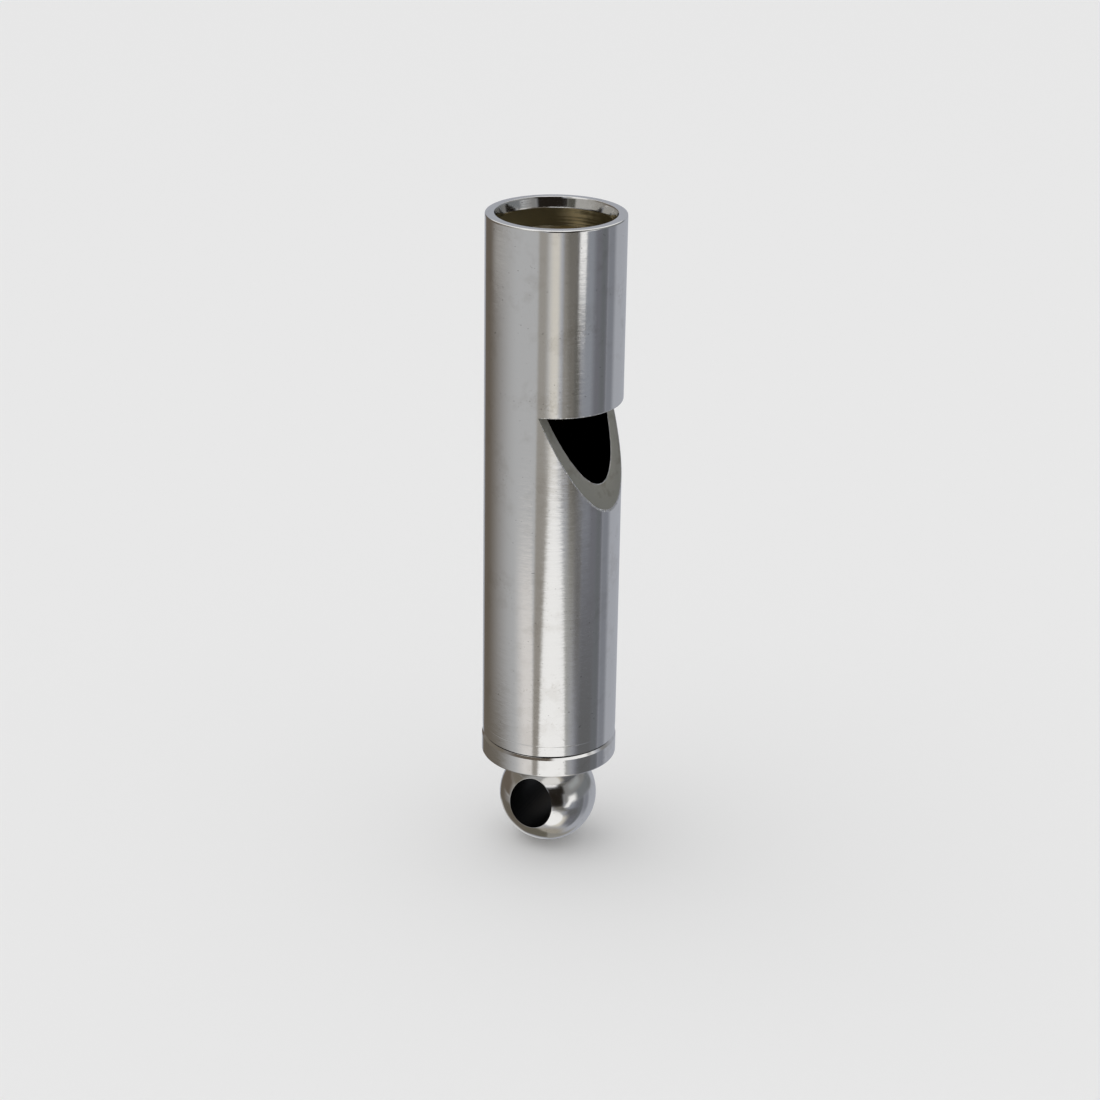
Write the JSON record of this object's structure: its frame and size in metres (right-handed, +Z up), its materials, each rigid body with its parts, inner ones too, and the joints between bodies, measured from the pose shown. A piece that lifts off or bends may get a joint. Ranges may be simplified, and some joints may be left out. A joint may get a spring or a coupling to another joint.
{
  "type": "tube whistle",
  "caption": "Plated metal tube whistle with an open mouth, a recessed windway plug, a slanted window, a closed chamber and a cross-drilled ball that swivels under the end cap.",
  "frame": {"origin": "middle of the ring hole in the ball, on the tube's axis", "axes": "+Z up the tube's axis towards the mouth, -Y out of the window, +X to the right of someone who looks at the window"},
  "size_m": [0.012, 0.012, 0.0588],
  "materials": {
    "plated_tube": "bright plate over drawn brass tube, with fine lengthwise draw lines",
    "plated_cap": "bright plate over turned brass, satin round the edge",
    "plated_ball": "bright plate over a polished turned ball",
    "turned_brass": "bare turned brass, slightly tarnished",
    "zinc_steel": "plain zinc plate"
  },
  "bodies": {
    "whistle_body": {"body_tube": "plated_tube", "windway_plug": "turned_brass", "end_cap": "plated_cap"},
    "swivel_ball": {"lanyard_ball": "plated_ball", "stud_washer": "zinc_steel"}
  },
  "joints": [
    {"name": "ball_swivel", "type": "hinge", "parent": "whistle_body", "child": "swivel_ball", "pos_m": [0, 0, 0.00399], "axis": [0, 0, 1], "continuous": true}
  ]
}
